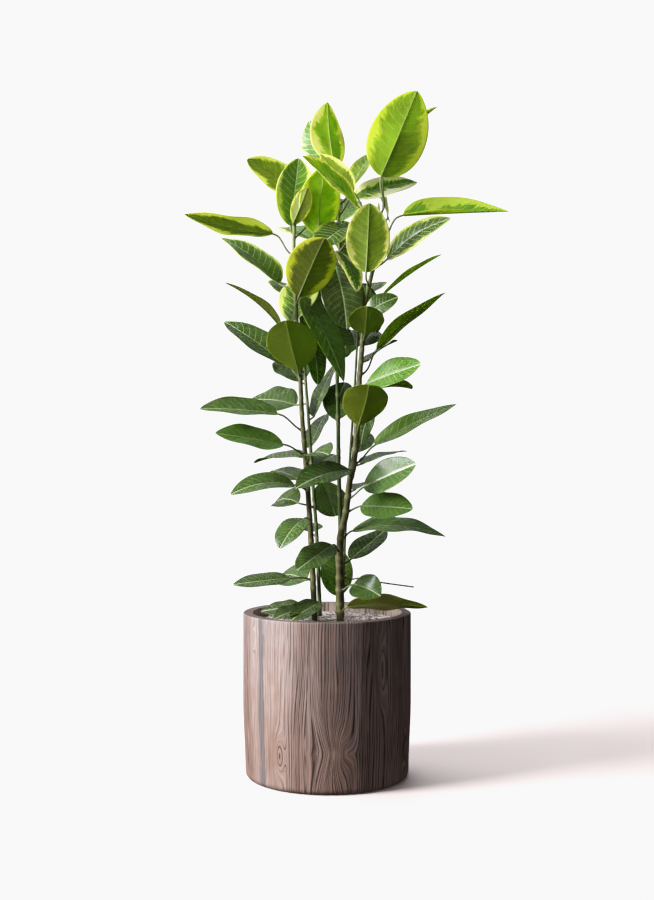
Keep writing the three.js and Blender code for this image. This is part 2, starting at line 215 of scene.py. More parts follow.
# ---- node graphs ----
class Graph:
    """The nodes of a material or a world, added by short calls that return the socket of their result."""

    def __init__(self, owner, out):
        owner.use_nodes = True
        self.owner = owner
        self.tree = owner.node_tree
        self.tree.nodes.clear()
        self.out = self.node(out)

    def node(self, kind, **settings):
        made = self.tree.nodes.new("ShaderNode" + kind)
        for key, value in settings.items():
            setattr(made, key, value)
        return made

    def put(self, socket, value):
        """Links a socket's value, or sets a plain one."""
        if isinstance(value, bpy.types.NodeSocket):
            self.tree.links.new(value, socket)
        else:
            socket.default_value = value

    def math(self, operation, *values):
        made = self.node("Math", operation=operation)
        for socket, value in zip(made.inputs, values):
            self.put(socket, value)
        return made.outputs[0]

    def plus(self, a, b):
        return self.math("ADD", a, b)

    def less(self, a, b):
        return self.math("SUBTRACT", a, b)

    def times(self, a, b):
        return self.math("MULTIPLY", a, b)

    def step(self, value, low, high, to_low=0.0, to_high=1.0):
        """to_low below low, to_high above high, and a smooth step between."""
        made = self.node("MapRange", interpolation_type="SMOOTHSTEP")
        for at, given in enumerate((value, low, high, to_low, to_high)):
            self.put(made.inputs[at], given)
        return made.outputs[0]

    def blend(self, part, a, b, how="MIX"):
        made = self.node("Mix", data_type="RGBA", blend_type=how)
        self.put(made.inputs[0], part)
        self.put(made.inputs[6], a)
        self.put(made.inputs[7], b)
        return made.outputs[2]

    def read(self, name):
        """A value for each point, as store() keeps it."""
        return self.node("Attribute", attribute_name=name).outputs["Fac"]

    def read_parts(self, name):
        """The three parts of a vector for each point, as store() keeps it."""
        return self.parts(self.node("Attribute", attribute_name=name).outputs["Vector"])

    def coordinates(self):
        """A place on the piece, in metres."""
        return self.node("TexCoord").outputs["Object"]

    def parts(self, vector):
        made = self.node("SeparateXYZ")
        self.put(made.inputs[0], vector)
        return made.outputs[0], made.outputs[1], made.outputs[2]

    def vector(self, *parts):
        made = self.node("CombineXYZ")
        for socket, value in zip(made.inputs, parts):
            self.put(socket, value)
        return made.outputs[0]

    def noise(self, vector, scale, detail=2.0, roughness=0.5):
        made = self.node("TexNoise")
        self.put(made.inputs["Vector"], vector)
        self.put(made.inputs["Scale"], scale)
        self.put(made.inputs["Detail"], detail)
        self.put(made.inputs["Roughness"], roughness)
        return made.outputs[0]

    def cells(self, vector, scale, feature):
        """The distance to the middle or to the edge of the cell that a place is in."""
        made = self.node("TexVoronoi", feature=feature)
        self.put(made.inputs["Vector"], vector)
        self.put(made.inputs["Scale"], scale)
        return made.outputs["Distance"]

    def ramp(self, value, *stops):
        made = self.node("ValToRGB")
        ramp = made.color_ramp
        while len(ramp.elements) < len(stops):
            ramp.elements.new(0.5)
        for element, (place, code) in zip(ramp.elements, stops):
            element.position = place
            element.color = colour(code)
        self.put(made.inputs[0], value)
        return made.outputs[0]

    def bump(self, height, strength, distance):
        made = self.node("Bump")
        self.put(made.inputs["Strength"], strength)
        self.put(made.inputs["Distance"], distance)
        self.put(made.inputs["Height"], height)
        return made.outputs[0]

    def finish(self, **sockets):
        """One Principled shader with these sockets, named with _ for spaces."""
        shader = self.node("BsdfPrincipled")
        for key, value in sockets.items():
            self.put(shader.inputs[key.replace("_", " ")], value)
        self.put(self.out.inputs["Surface"], shader.outputs[0])
        return self.owner


def material_graph(name):
    """The graph of a new material."""
    return Graph(bpy.data.materials.new(name), "OutputMaterial")


# ---- leaf materials ----
VEIN_PAIRS = 11
VEIN_RISE = 0.17  # how far along the blade a side vein climbs on its way to the edge
VEIN_HALF = 0.055  # of the space from one side vein to the next
MIDRIB_HALF = 1.3 * MM
NET_SCALE, CLOUD_SCALE, FINE_SCALE = 330, 34, 420  # cells in a metre
UPPER_SIDE = {  # greens from an old leaf to a young one, then how clearly veins show and stand out
    "greens": ((0.0, "#2a4216"), (0.4, "#4a6d1e"), (0.75, "#6a9a1c"), (1.0, "#9cbe2c")),
    "lime": "#a9c72c", "cream": "#e6ec9c", "line": "#b4cc88", "rib": "#c6d9a4",
    "veins_show": 0.75, "ribs_show": 0.75, "vein_rise": -1.0, "net_rise": -0.05, "bump": 0.35,
    "gloss": (0.23, 0.3), "specular": 0.4, "subsurface": 0.7,
}
UNDER_SIDE = {
    "greens": ((0.0, "#515c12"), (0.4, "#6c8314"), (0.75, "#86aa1a"), (1.0, "#a8c430")),
    "lime": "#c2d42c", "cream": "#e0e084", "line": "#a6b45c", "rib": "#a8b25e",
    "veins_show": 0.3, "ribs_show": 0.4, "vein_rise": 1.0, "net_rise": 0.2, "bump": 0.25,
    "gloss": (0.45, 0.6), "specular": 0.18, "subsurface": 1.0,
}


def leaf_fields(g):
    """Sockets shared by the two sides of a blade."""
    across, along, seed = g.read_parts("leaf_place")
    youth, margin, cream = g.read_parts("leaf_look")
    flat_x, flat_y, _ = g.read_parts("leaf_flat")
    tone, warmth, _ = g.read_parts("leaf_shade")
    out = g.math("ABSOLUTE", across)
    right = g.math("GREATER_THAN", across, 0.0)
    climb = g.times(g.math("POWER", out, 1.2), VEIN_RISE)
    phase = g.plus(g.times(g.less(along, climb), VEIN_PAIRS), g.times(right, 0.5))
    beside = g.math("ABSOLUTE", g.less(g.math("FRACT", g.plus(phase, 0.5)), 0.5))
    sided = g.plus(g.times(seed, 31.0), g.times(right, 9.0))
    place = g.vector(flat_x, flat_y, seed)
    return {
        "out": out, "along": along, "youth": youth, "margin": margin, "cream": cream,
        "tone": tone, "warmth": warmth, "place": place,
        "vein": g.times(g.step(beside, VEIN_HALF, 0.02), g.step(out, 0.97, 0.6)),
        "midrib": g.step(g.math("ABSOLUTE", flat_x), MIDRIB_HALF, 0.5 * MM),
        "fingers": g.noise(g.vector(g.times(phase, 1.5), g.times(out, 1.1), sided), 1.0, 3.0, 0.66),
        "blotches": g.noise(g.vector(g.times(phase, 0.35), out, sided), 1.0, 2.0, 0.5),
        "patches": g.noise(g.vector(g.times(phase, 0.8), g.times(out, 2.2), sided), 1.0, 3.0, 0.6),
        "net": g.step(g.cells(place, NET_SCALE, "DISTANCE_TO_EDGE"), 0.12, 0.0),
        "cloudy": g.noise(place, CLOUD_SCALE, 3.0, 0.55),
        "fine": g.noise(place, FINE_SCALE, 2.0, 0.6),
    }


def margin_mask(g, f):
    """Where the pale margin is, with a jagged inner edge that follows the side veins."""
    jag = g.times(g.less(f["fingers"], 0.5), 1.25)
    drift = g.times(g.less(f["blotches"], 0.5), 1.5)
    ragged = g.times(g.plus(jag, drift), g.plus(f["margin"], 0.25))
    reach = g.plus(f["out"], ragged)
    ends = g.step(f["along"], 0.8, 1.0, 0.0, 0.14)
    edge = g.less(g.less(0.98, g.times(f["margin"], 0.55)), ends)
    inside = g.less(reach, edge)
    shown = g.step(f["margin"], 0.02, 0.12)
    half_way = g.times(g.step(inside, -0.13, -0.09), shown)
    return g.times(g.step(inside, -0.015, 0.035), shown), half_way


def blade_colour(g, f, side):
    """Green by the leaf's youth, with paler patches and a lime or cream margin on variegated leaves."""
    wander = g.times(g.less(f["blotches"], 0.5), f["youth"])
    age = g.plus(f["youth"], g.times(wander, 0.7))
    age = g.plus(age, g.times(g.less(f["cloudy"], 0.5), 0.16))
    green = g.ramp(age, *side["greens"])
    variegated = g.step(f["margin"], 0.02, 0.2)
    patched = g.times(g.times(g.step(f["patches"], 0.5, 0.54), variegated), 0.3)
    green = g.blend(patched, green, g.blend(1.0, green, colour("#a8b080"), "MULTIPLY"))
    margin, half_way = margin_mask(g, f)
    lime = colour(side["lime"])
    pale = g.blend(f["cream"], lime, colour(side["cream"]))
    return g.blend(margin, g.blend(g.times(half_way, 0.4), green, lime), pale)


def leaf_material(name, side):
    """One side of every blade. What differs from leaf to leaf is read from the mesh."""
    g = material_graph(name)
    f = leaf_fields(g)
    # the leaf's tone, partly painted light and shade, scales its colour here
    shade = g.times(f["tone"], g.step(f["fine"], 0.2, 0.8, 0.94, 1.06))
    toned = g.blend(1.0, blade_colour(g, f, side), g.vector(shade, shade, shade), "MULTIPLY")
    toned = g.blend(f["warmth"], toned, g.blend(1.0, toned, colour("#ffdf98"), "MULTIPLY"))
    line_colour = colour(side["line"])
    plainness = g.step(f["youth"], 0.1, 0.35, 0.32, 1.0)
    lined = g.blend(g.times(f["vein"], g.times(plainness, side["veins_show"])), toned, line_colour)
    netted = g.blend(g.times(f["net"], 0.1), lined, line_colour)
    ribbed = g.blend(g.times(f["midrib"], side["ribs_show"]), netted, colour(side["rib"]))
    relief = g.plus(g.times(f["vein"], side["vein_rise"]), g.times(f["net"], side["net_rise"]))
    relief = g.plus(relief, g.times(f["fine"], 0.04))
    return g.finish(
        Base_Color=ribbed, Roughness=g.step(f["cloudy"], 0.3, 0.7, *side["gloss"]),
        Normal=g.bump(relief, side["bump"], 0.5 * MM),
        Subsurface_Weight=side["subsurface"], Subsurface_Radius=(1.0, 1.2, 0.3),
        Subsurface_Scale=1.6 * MM, Specular_IOR_Level=side["specular"],
    )


def stalk_material():
    """Leaf stalks and midribs: green, and browner towards the stem."""
    g = material_graph("leaf_stalk")
    _, along, _ = g.read_parts("leaf_place")
    youth, _, _ = g.read_parts("leaf_look")
    speckle = g.noise(g.coordinates(), 900.0)
    green = g.blend(youth, colour("#4c5a26"), colour("#8a9c3c"))
    shade = g.blend(g.step(along, -0.1, -0.9), green, colour("#34391f"))
    spotted = g.blend(g.step(speckle, 0.55, 0.7, 0.0, 0.35), shade, colour("#262a16"))
    return g.finish(Base_Color=spotted, Roughness=0.42, Normal=g.bump(speckle, 0.25, 0.3 * MM))


LEAF_MATERIALS = [
    leaf_material("leaf_upper", UPPER_SIDE), leaf_material("leaf_under", UNDER_SIDE), stalk_material(),
]

# ---- leaf shapes ----
ROWS = 44  # points along a blade
ACROSS = (0.0, 0.022, 0.06, 0.14, 0.26, 0.4, 0.55, 0.7, 0.84, 0.94, 1.0)  # of half the width
THICKNESS = 0.5 * MM
TUBE_SIDES = 10
BASE_POWER = 0.6  # how quickly a blade widens from its stalk
BLUNT_POWER, SHARP_POWER = 0.68, 0.98  # how a broad leaf and a narrow one close at the tip
TIP_WIDTH = 0.012  # of the greatest width
STALK_RADIUS = 1.6 * MM
STALK_POINTS = 14
STALK_ROOT = 1.5 * MM  # how far a stalk starts inside its stem
STALK_FLARE, FLARE_REACH = 0.55, 5 * MM  # how much thicker it is at the stem, and for how far
RIB_THICK, RIB_THIN, RIB_SUNK = 0.95, 0.18, 0.35  # the ridge under a blade, as parts of its radius
QUILT = 0.15 * MM  # how far the blade swells between its side veins
CREASE_DEPTH, CREASE_HALF = 0.5 * MM, 1.6 * MM  # of the groove along the midrib
SEED_STEP = 0.173  # sets the patterns of two leaves apart


def bezier(base, crest, tip, part):
    """A point on a curve of three points, and the direction there."""
    rest = 1 - part
    point = rest * rest * base + 2 * rest * part * crest + part * part * tip
    heading = rest * (crest - base) + part * (tip - crest)
    return point, heading.normalized()


def half_outline(part, tip_power):
    """Half the blade's width as a part of its greatest."""
    peak = BASE_POWER / (BASE_POWER + tip_power)
    widest = peak ** BASE_POWER * (1 - peak) ** tip_power
    body = part ** BASE_POWER * (1 - part) ** tip_power / widest
    return max(TIP_WIDTH, body)


def traits_of(seed):
    """What differs a little from leaf to leaf."""
    chance = random.Random(seed)
    return {
        "waves": chance.uniform(1.2, 2.4),
        "swing": [chance.uniform(0, 2 * math.pi) for _ in range(2)],
        "ripple": chance.uniform(0.03, 0.065),
        "curl": chance.uniform(-0.1, 0.06),
        "bend": chance.uniform(-0.035, 0.035),
    }


def lift_at(traits, fold, part, column, half):
    """How far the blade is above its spine, at a part of its length and a part of its half width."""
    out = abs(column)
    right = 1 if column > 0 else 0
    lift = math.sin(fold) * out + traits["curl"] * out ** 3
    sway = math.sin(2 * math.pi * traits["waves"] * part + traits["swing"][right])
    lift += traits["ripple"] * out ** 2.4 * sway
    phase = (part - VEIN_RISE * out ** 1.3) * VEIN_PAIRS + 0.5 * right
    quilt = -QUILT * math.cos(2 * math.pi * phase) * min(1, 4 * out) * (1 - out ** 3)
    quilt *= smooth(0, 0.1, part) * smooth(1, 0.85, part)
    crease = -CREASE_DEPTH * math.exp(-((out * half / CREASE_HALF) ** 2))
    return half * lift + quilt + crease


def blade_surface(leaf, seed):
    """Rows of points across the blade, and each point's place on it, in parts and then flattened out."""
    traits = traits_of(seed)
    length = (leaf["tip"] - leaf["base"]).length
    tip_power = mix(SHARP_POWER, BLUNT_POWER, smooth(0.38, 0.62, leaf["width"] / length))
    columns = [-a for a in reversed(ACROSS[1:])] + list(ACROSS)
    surface, places, flats = [], [], []
    for row in range(ROWS + 1):
        part = min(1.0, 0.5 - 0.5 * math.cos(math.pi * (0.04 + 0.96 * row / ROWS)) if row else 0.0)
        spine, heading = bezier(leaf["base"], leaf["crest"], leaf["tip"], part)
        up = (leaf["up"] - heading * leaf["up"].dot(heading)).normalized()
        side = heading.cross(up)
        half = leaf["width"] / 2 * half_outline(part, tip_power)
        spine = spine + side * (traits["bend"] * length * math.sin(math.pi * part))
        fold = leaf["fold"] * (1.15 - 0.3 * part)  # the blade opens towards its tip
        line = []
        for column in columns:
            reach = half * column * math.cos(fold)
            line.append(spine + side * reach + up * lift_at(traits, fold, part, column, half))
            places.append((column, part, seed * SEED_STEP))
            flats.append((column * half, part * length, 0.0))
        surface.append(line)
    return surface, places, flats


def blade_shell(surface, normals):
    """Points, faces and material slots of a thin solid with the surface in its middle."""
    wide = len(surface[0])
    grid = np.array([[tuple(p) for p in line] for line in surface])
    upper = grid + normals * THICKNESS / 2
    lower = grid - normals * THICKNESS / 2
    points = [*upper.reshape(-1, 3), *lower.reshape(-1, 3)]
    count = (ROWS + 1) * wide
    faces, slots = [], []
    for row in range(ROWS):
        for column in range(wide - 1):
            a = row * wide + column
            quad = (a, a + 1, a + 1 + wide, a + wide)
            faces += [quad, tuple(count + i for i in reversed(quad))]
            slots += [0, 1]
    rim = list(range(wide)) + [r * wide + wide - 1 for r in range(1, ROWS + 1)]
    rim += [ROWS * wide + c for c in range(wide - 2, -1, -1)] + [r * wide for r in range(ROWS - 1, 0, -1)]
    for a, b in zip(rim, rim[1:] + rim[:1]):
        faces.append((b, a, count + a, count + b))
        slots.append(1)
    return points, faces, slots


def build_leaf(name, leaf, look, seed):
    """A thin blade with raised veins, a ridge under its midrib, and its stalk, as one piece."""
    length = (leaf["tip"] - leaf["base"]).length
    surface, places, flats = blade_surface(leaf, seed)
    normals = grid_normals(np.array([[tuple(p) for p in line] for line in surface]))
    points, faces, slots = blade_shell(surface, normals)
    start = len(points)
    tube_points, tube_places, tube_faces = stalk_tube(leaf, surface, normals)
    points += tube_points
    faces += [tuple(start + i for i in face) for face in tube_faces]
    slots += [2] * len(tube_faces)
    places = places * 2 + [(0.0, along, seed * SEED_STEP) for along in tube_places]
    flats = flats * 2 + [(0.0, max(0.0, along) * length, 0.0) for along in tube_places]
    youth, margin, cream, tone, warmth = look
    piece = new_piece(name, points, faces, LEAF_MATERIALS, slots)
    store(piece, "leaf_place", places)
    store(piece, "leaf_flat", flats)
    store(piece, "leaf_look", [(youth, margin, cream)] * len(points))
    store(piece, "leaf_shade", [(tone, warmth, 0.0)] * len(points))
    return piece


def grid_normals(grid):
    """The unit normal at each point of a grid of points, on the side that the blade faces up."""
    along = np.gradient(grid, axis=0)
    across = np.gradient(grid, axis=1)
    normals = np.cross(across, along)
    return normals / np.maximum(np.linalg.norm(normals, axis=2, keepdims=True), 1e-9)


def stalk_tube(leaf, surface, normals):
    """A round stalk that runs on under the blade as its midrib, and tapers off at the tip."""
    middle = len(surface[0]) // 2
    line = smooth_line(leaf["stalk"], STALK_POINTS)
    first = (line[1] - line[0]).normalized()
    line.insert(0, line[0] - first * STALK_ROOT)
    reach = sum((b - a).length for a, b in zip(line, line[1:]))
    centres, radii, along = [], [], []
    walked = 0.0
    for at, point in enumerate(line):
        if at:
            walked += (point - line[at - 1]).length
        part = walked / reach
        centres.append(point)
        flare = STALK_FLARE * math.exp(-((walked / FLARE_REACH) ** 2))
        radii.append(STALK_RADIUS * (1.0 + flare + 0.12 * part))
        along.append(part - 1)
    for row in range(2, ROWS - 1, 2):
        part = row / ROWS
        radius = STALK_RADIUS * mix(RIB_THICK, RIB_THIN, part ** 0.6)
        normal = Vector(normals[row][middle])
        centres.append(surface[row][middle] - normal * radius * RIB_SUNK)
        radii.append(radius)
        along.append(part)
    points, faces = tube(centres, radii, TUBE_SIDES)
    places = [a for a in along for _ in range(TUBE_SIDES)] + [along[0], along[-1]]
    return points, places, faces


def smooth_line(points, count):
    """Points spaced along a smooth curve through the given ones."""
    steps = [0.0]
    for a, b in zip(points, points[1:]):
        steps.append(steps[-1] + max(1e-6, (b - a).length))
    ends = [2 * points[0] - points[1]] + list(points) + [2 * points[-1] - points[-2]]
    made = []
    for at in range(count):
        target = steps[-1] * at / (count - 1)
        span = min(len(points) - 2, max(i for i, s in enumerate(steps) if s <= target + 1e-9))
        part = (target - steps[span]) / (steps[span + 1] - steps[span])
        p0, p1, p2, p3 = ends[span:span + 4]
        made.append(0.5 * (2 * p1 + (p2 - p0) * part + (2 * p0 - 5 * p1 + 4 * p2 - p3) * part ** 2
                           + (3 * p1 - p0 - 3 * p2 + p3) * part ** 3))
    return made


def tube(centres, radii, sides, shape=None):
    """Points and faces of a closed round tube; shape gives a factor for the radius by place and turn."""
    points, faces = [], []
    across = None
    for at, (centre, radius) in enumerate(zip(centres, radii)):
        after = centres[min(at + 1, len(centres) - 1)]
        before = centres[max(at - 1, 0)]
        along = (after - before).normalized()
        if across is None:
            across = along.orthogonal().normalized()
        across = (across - along * across.dot(along)).normalized()
        other = along.cross(across)
        for side in range(sides):
            turn = 2 * math.pi * side / sides
            factor = shape(at, turn) if shape else 1.0
            points.append(centre + (across * math.cos(turn) + other * math.sin(turn)) * radius * factor)
    for at in range(len(centres) - 1):
        for side in range(sides):
            following = (side + 1) % sides
            low, high = at * sides, (at + 1) * sides
            faces.append((low + side, low + following, high + following, high + side))
    first, last = len(points), len(points) + 1
    points += [centres[0], centres[-1]]
    top = (len(centres) - 1) * sides
    for side in range(sides):
        following = (side + 1) % sides
        faces.append((first, following, side))
        faces.append((last, top + side, top + following))
    return points, faces


# ---- which leaf looks how ----
# youth, width of the pale margin, how creamy that is, tone and, where it isn't 0, warmth; the tone is
# partly the leaf's own and partly painted light and shade
Look = namedtuple("Look", "youth margin cream tone warmth", defaults=(0,))
PLAIN = (0.12, 0, 0, 0.71)
# a lower tone for leaves behind the others, as painted shade
PLAIN_BEHIND = (0.05, 0, 0, 0.6)
# leaves 41 and 47 get a high tone as painted light where they lie in shade, and 46 a low one as painted
# shade; the high tone of 14, 26 and 30, and the cream margin of 26 and 30, are partly a painted sheen
LOOKS = {  # by the number in the leaf's name
    1: (0.66, 0.38, 0.1, 0.8), 2: (0.5, 0.3, 0.5, 0.9), 3: (0.75, 0.3, 0.1, 0.77, 0.9),
    4: (0.3, 0.75, 1, 1.8), 5: (0.9, 0.4, 0.8, 1.3, 0.5), 6: (0.35, 0.45, 0.9, 1),
    7: (0.75, 0.95, 0.1, 1.2), 8: (0.3, 0.3, 0.6, 0.6, 0.3), 9: (0.45, 0.3, 1, 0.6),
    10: (0.25, 0.05, 0.1, 1.8, 0.2), 11: (0.15, 0.05, 0.3, 0.65), 12: (0.05, 0, 0, 0.85, 0.1),
    13: (0.1, 0, 0, 1.2), 14: (0.15, 0, 0, 1.6), 15: (0.05, 0, 0, 0.95, 0.3),
    16: (0.15, 0, 0, 1.15, 0.2), 17: (0, 0, 0, 0.6), 18: (0.1, 0, 0, 1), 19: (0.12, 0, 0, 1.25),
    20: (0.1, 0, 0, 1.3), 21: (0, 0, 0, 0.5), 22: (0.05, 0, 0, 0.65), 24: (0.1, 0, 0, 0.85, 0.9),
    25: (0.85, 0.6, 0.9, 0.95), 26: (0.3, 0.3, 1, 1.4), 27: (0.8, 0.45, 0.3, 0.85),
    28: (0.35, 0.3, 0.8, 1), 29: (0.3, 0.15, 0.4, 0.35), 30: (0.3, 0.6, 1, 1.5),
    31: (0.1, 0, 0, 0.42, 0.7), 32: (0.45, 0.15, 0, 0.62, 0.4), 33: (0.3, 0.35, 0.6, 0.66),
    34: (0.5, 0.28, 0.5, 0.95), 35: (0.25, 0.5, 0.6, 0.8, 0.1), 36: (0.3, 0.2, 0.7, 1),
    37: (0.02, 0.36, 0.1, 0.6, 0.5), 38: (0.05, 0, 0, 0.6, 0.3), 39: (0.05, 0, 0, 0.85, 0),
    41: (0.12, 0, 0, 1.5), 42: (0.1, 0, 0, 0.6), 45: (0.05, 0, 0, 0.54), 46: (0.05, 0, 0, 0.3),
    47: (0.1, 0, 0, 1.45), 48: (0.2, 0, 0, 0.54), 49: (0.05, 0, 0, 0.5), 50: (0.05, 0, 0, 0.45),
    51: (0.1, 0, 0, 0.6, 0.3),
}

# ---- leaves of the frame ----
SLOT_OF = {row["node"]: row["material_slot"] for row in frame["record"]["subparts"]}
leaf_nodes = sorted(node for node in frame["nodes"] if node.startswith("leaf_"))
scars = {}  # the places on each stem where a leaf is joined
for node in leaf_nodes:
    number = int(node.split("_")[1])
    measures = read_leaf(node)
    stem = "stem_" + node.split("_", 2)[2]
    scars.setdefault(stem, []).append(measures["stalk"][0].z)
    look = Look(*LOOKS.get(number, PLAIN))
    ride(build_leaf("fine_" + node, measures, look, number), SLOT_OF[node], node)


# ---- leaves behind the frame's ----
INFILL = [  # in mm: the height of the joint, then the blade's base, tip, width and facing; then its look
    ("stem_right", 975, (110, 20, 999), (99, 100, 1053), 40, (0.8, 0.3, 0.3), (0.4, 0.3, 0.5, 0.6)),
    ("stem_left", 800, (-65, 15, 811), (-28, 75, 909), 75, (-0.3, -0.8, 0.5), (0.3, 0.5, 0.5, 0.75)),
    ("stem_right", 735, (74, 20, 742), (131, 100, 784), 55, (-0.35, 0.1, 0.9), (0.1, 0, 0, 0.5)),
    ("stem_right", 550, (63, 20, 555), (150, 110, 578), 60, (-0.2, -0.15, 1), PLAIN_BEHIND),
    ("stem_back_left", 665, (-57, 45, 662), (-145, 115, 674), 80, (0.05, -0.7, 0.7), PLAIN_BEHIND),
    ("stem_back_left", 700, (-49, 55, 705), (-81, 125, 754), 70, (0.1, -0.75, 0.6), PLAIN_BEHIND),
    ("stem_back_left", 530, (-49, 50, 525), (-100, 120, 542), 60, (0.1, -0.5, 0.8), PLAIN_BEHIND),
    ("stem_back_left", 530, (-8, 65, 522), (16, 120, 455), 66, (-0.2, -0.9, 0.35), PLAIN_BEHIND),
    ("stem_left", 355, (-38, 15, 345), (-86, 100, 346), 66, (0, -0.85, 0.5), PLAIN_BEHIND),
    ("stem_back_left", 770, (-29, 60, 782), (-17, 75, 700), 45, (0.5, -0.75, 0.2), (0, 0, 0, 0.45)),
    ("stem_back_left", 635, (-24, 70, 642), (21, 130, 749), 60, (-0.7, -0.35, 0.4), PLAIN_BEHIND),
    ("stem_back_left", 575, (-31, 60, 584), (-2, 130, 648), 55, (-0.6, -0.5, 0.5), PLAIN_BEHIND),
    ("stem_back_left", 540, (-26, 55, 543), (17, 130, 571), 60, (0, -0.4, 0.9), PLAIN_BEHIND),
    ("stem_centre", 640, (16, 50, 635), (34, 120, 708), 60, (0, -0.6, 0.75), PLAIN_BEHIND),
    ("stem_back_right", 600, (57, 80, 576), (74, 130, 614), 45, (0, -0.6, 0.7), PLAIN_BEHIND),
    ("stem_centre", 745, (26, 50, 752), (47, 125, 807), 60, (0, -0.5, 0.8), PLAIN_BEHIND),
    ("stem_back_right", 790, (68, 75, 773), (91, 140, 808), 50, (0.1, -0.5, 0.8), PLAIN_BEHIND),
    ("stem_left", 296, (-42, -34, 301), (-92, -62, 286), 44, (0, -0.3, 1), (0.1, 0, 0, 0.32)),
    ("stem_left", 302, (-12, -28, 310), (-62, -75, 285), 46, (-0.1, -0.6, 0.8), (0.1, 0, 0, 0.32)),
    ("stem_right", 645, (84, 32, 660), (62, 62, 585), 42, (-0.6, -0.8, 0.2), PLAIN_BEHIND),
    # deep in the crown, between the stems, with a low tone as painted shade
    ("stem_back_left", 845, (-46, 60, 856), (-22, 110, 770), 62, (0.6, -0.7, 0.3), (0.1, 0, 0, 0.5)),
    ("stem_back_left", 848, (-30, 62, 872), (26, 96, 800), 66, (0.3, -0.85, 0.4), (0.15, 0.1, 0.4, 0.5)),
    ("stem_centre", 860, (0, 40, 872), (-22, 88, 962), 70, (0.2, -0.9, 0.3), (0.2, 0.1, 0.5, 0.5)),
    ("stem_back_right", 912, (52, 60, 922), (24, 100, 1010), 66, (0.3, -0.9, 0.3), (0.3, 0.2, 0.6, 0.55)),
    ("stem_back_right", 880, (72, 58, 884), (92, 112, 800), 56, (-0.4, -0.8, 0.4), (0.1, 0, 0, 0.5)),
    ("stem_centre", 820, (8, 45, 826), (34, 95, 752), 58, (-0.3, -0.9, 0.3), (0.05, 0, 0, 0.45)),
    # at the back
    ("stem_back_right", 860, (70, 82, 868), (96, 148, 900), 60, (0.1, 0.4, 0.9), (0.25, 0.1, 0.5, 0.6)),
    ("stem_back_left", 845, (-62, 68, 858), (-96, 146, 902), 66, (-0.1, 0.4, 0.9), (0.25, 0.1, 0.5, 0.6)),
    ("stem_centre", 985, (24, 62, 1000), (30, 142, 1058), 72, (0.05, 0.6, 0.8), (0.45, 0.25, 0.5, 0.65)),
    ("stem_back_right", 500, (52, 92, 506), (84, 150, 520), 60, (0.1, 0.5, 0.85), PLAIN_BEHIND),
    ("stem_back_left", 420, (-30, 78, 428), (-50, 148, 440), 60, (-0.1, 0.5, 0.85), PLAIN_BEHIND),
]
CROWN_YOUTH = 0.15  # a leaf with more youth than this counts as one of the crown's
INFILL_FOLD = math.radians(9)
INFILL_ARCH = 0.08  # of the blade's length
INFILL_SEED = 100
STALK_STEPS = 6


def stem_at(stem, height):
    """The point of a stem's centre line at a height."""
    centres, _ = read_rod(stem)
    for low, high in zip(centres, centres[1:]):
        if low.z <= height <= high.z:
            return low.lerp(high, (height - low.z) / (high.z - low.z))
    return centres[-1] if height > centres[-1].z else centres[0]


def infill_measures(stem, height, base, tip, width, facing):
    """The same measures as read_leaf gives, for a leaf that the frame doesn't have."""
    base, tip, up = Vector(base) * MM, Vector(tip) * MM, Vector(facing).normalized()
    joint = stem_at(stem, height * MM)
    heading = (tip - base).normalized()
    elbow = mix(joint, base, 0.5) - heading * 4 * MM
    up = (up - heading * up.dot(heading)).normalized()
    return {
        "stalk": [bezier(joint, elbow, base, at / STALK_STEPS)[0] for at in range(STALK_STEPS + 1)],
        "base": base,
        "crest": (base + tip) / 2 + up * INFILL_ARCH * (tip - base).length,
        "tip": tip,
        "up": up,
        "width": width * MM,
        "fold": INFILL_FOLD,
    }


for count, row in enumerate(INFILL, 1):
    *sizes, given_look = row
    look = Look(*given_look)
    measures = infill_measures(*sizes)
    scars[row[0]].append(measures["stalk"][0].z)
    slot = "crown_leaf" if look.youth > CROWN_YOUTH else "lower_leaf"
    ride(build_leaf(f"infill_leaf_{count:02d}", measures, look, INFILL_SEED + count), slot)


# ---- stems ----
STEM_SIDES = 18
STEM_STEP = 3 * MM
SCAR_REACH = 3.5 * MM
SCAR_GAPS = (28 * MM, 60 * MM)  # between the scars of leaves that have fallen
SCAR_SWELLING, STEM_WAVE, STEM_RIDGE = 0.14, 0.07, 0.05  # of the radius
BUD_LENGTHS = (18 * MM, 26 * MM)
BUD_LEAN = 3 * MM
BUD_RINGS = 16
BUD_SEED = 40


def stem_material(name, woody):
    """Smooth young bark: olive with paler corky dots and streaks, greyer where it is woody."""
    g = material_graph(name)
    coordinates = g.coordinates()
    place = g.parts(coordinates)
    stretched = g.vector(place[0], place[1], g.times(place[2], 0.12))
    streaks = g.noise(stretched, 320.0, 4.0, 0.6)
    patches = g.noise(coordinates, 22.0, 3.0)
    dot = g.step(g.cells(coordinates, 210.0, "F1"), 0.26, 0.12)
    if woody:
        bark = g.ramp(streaks, (0.25, "#29280b"), (0.5, "#3d3c17"), (0.75, "#535129"))
        worn = g.blend(g.step(patches, 0.45, 0.65, 0.0, 0.6), bark, colour("#4a5226"))
    else:
        bark = g.ramp(streaks, (0.25, "#1d2c0a"), (0.5, "#2f4615"), (0.75, "#4c6529"))
        worn = g.blend(g.step(patches, 0.45, 0.65, 0.0, 0.5), bark, colour("#4b4a2a"))
    young = g.step(place[2], 0.75, 1.0, 0.0, 0.75)
    worn = g.blend(young, worn, g.ramp(streaks, (0.3, "#5f6f30"), (0.7, "#87934a")))
    scarred = g.blend(g.times(g.read("stem_scar"), 0.65), worn, colour("#6f6b48"))
    dotted = g.blend(g.times(dot, 0.45), scarred, colour("#75714c"))
    relief = g.plus(streaks, g.times(dot, 0.6))
    return g.finish(Base_Color=dotted, Roughness=g.step(streaks, 0.3, 0.7, 0.5, 0.68),
                    Normal=g.bump(relief, 0.5, 0.5 * MM), Specular_IOR_Level=0.3)


